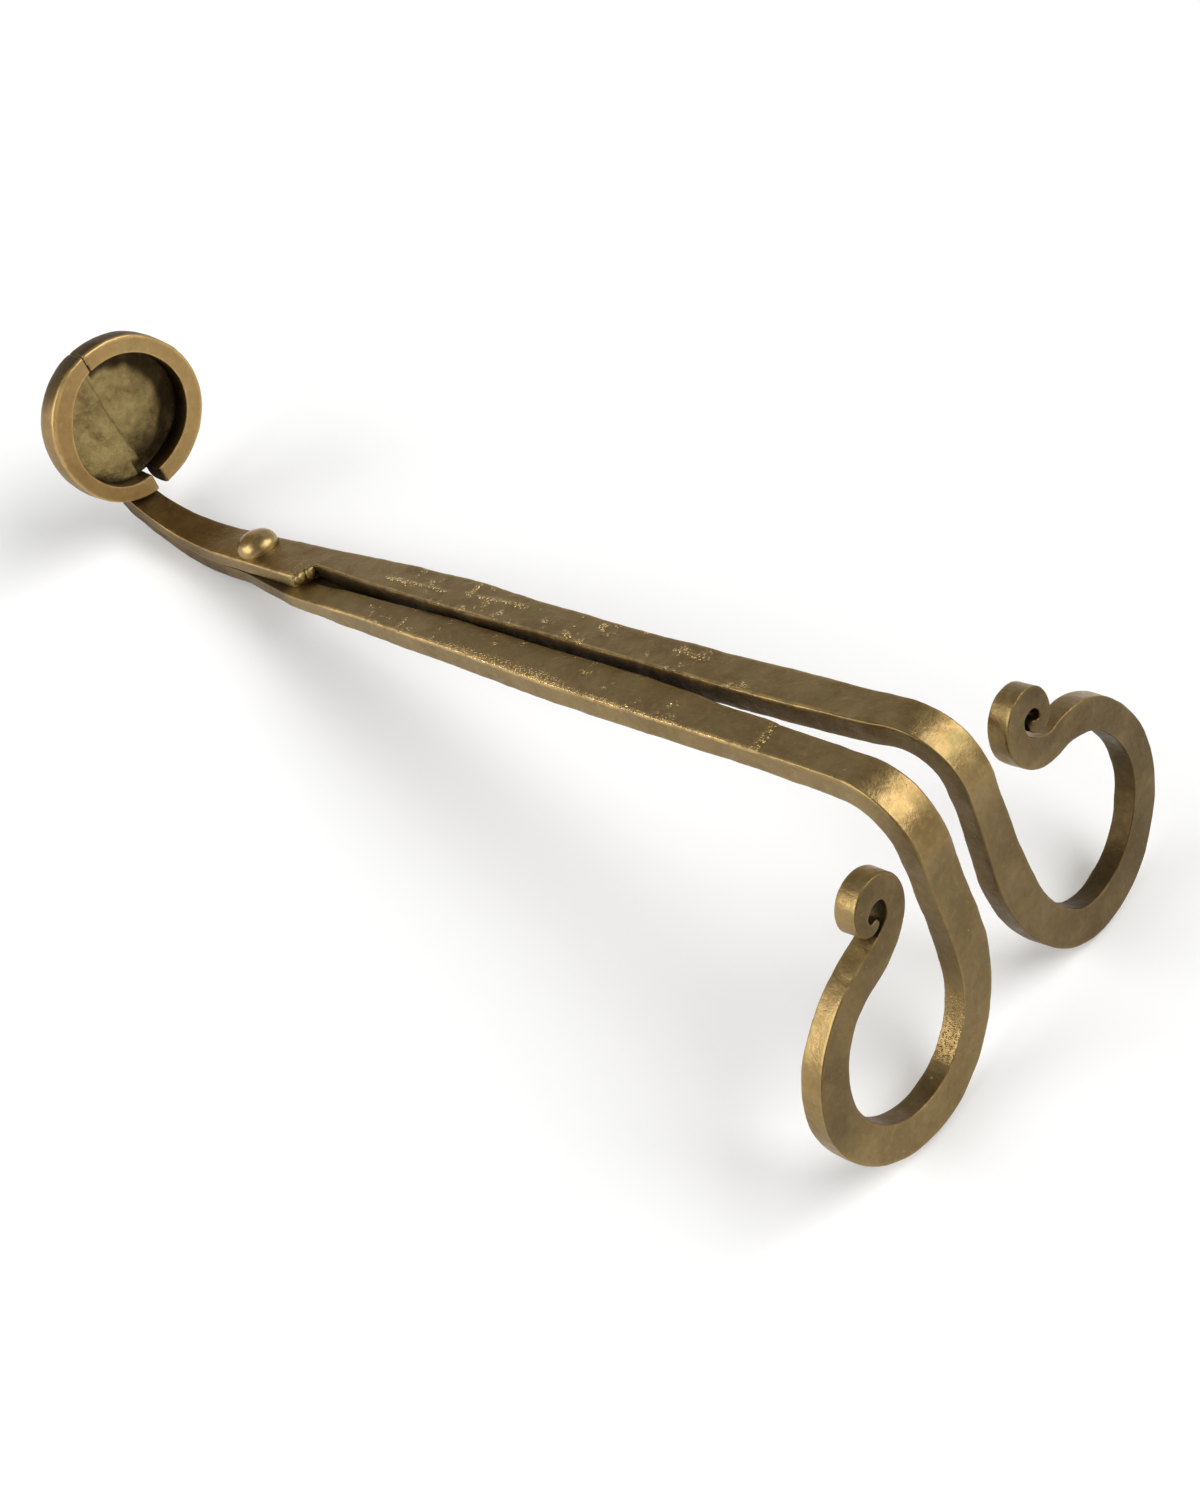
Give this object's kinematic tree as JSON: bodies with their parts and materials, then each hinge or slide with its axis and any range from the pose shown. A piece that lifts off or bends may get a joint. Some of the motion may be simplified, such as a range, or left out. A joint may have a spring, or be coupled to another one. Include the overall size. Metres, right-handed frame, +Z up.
{
  "type": "wick trimmer",
  "caption": "Forged brass scissor wick trimmer: crossed levers on a rivet, scrolled finger loops, and a shallow split cup that snips and catches the wick.",
  "frame": {"origin": "on the table under the middle of the tool's bounding box, closed and at rest", "axes": "+X from the cup to the finger loops, +Y towards the upper lever's arm, +Z up from the table"},
  "size_m": [0.1991, 0.0786, 0.0465],
  "materials": {
    "lever_brass": "aged, hammered, satin",
    "blade_brass": "aged, hand-beaten, satin",
    "rim_brass": "filed flat front, satin",
    "rivet_brass": "hammered and rubbed bright"
  },
  "bodies": {
    "lower_half": {"lower_lever": "lever_brass", "lower_blade": "blade_brass", "lower_rim": "rim_brass", "pivot_rivet": "rivet_brass"},
    "upper_half": {"upper_lever": "lever_brass", "upper_blade": "blade_brass", "upper_rim": "rim_brass"}
  },
  "joints": [
    {"name": "pivot", "type": "hinge", "parent": "lower_half", "child": "upper_half", "pos_m": [-0.06024, 0.00091, 0.00625], "axis": [-0.2659, 0.0359, 0.9633], "range_deg": [0, 35]}
  ]
}
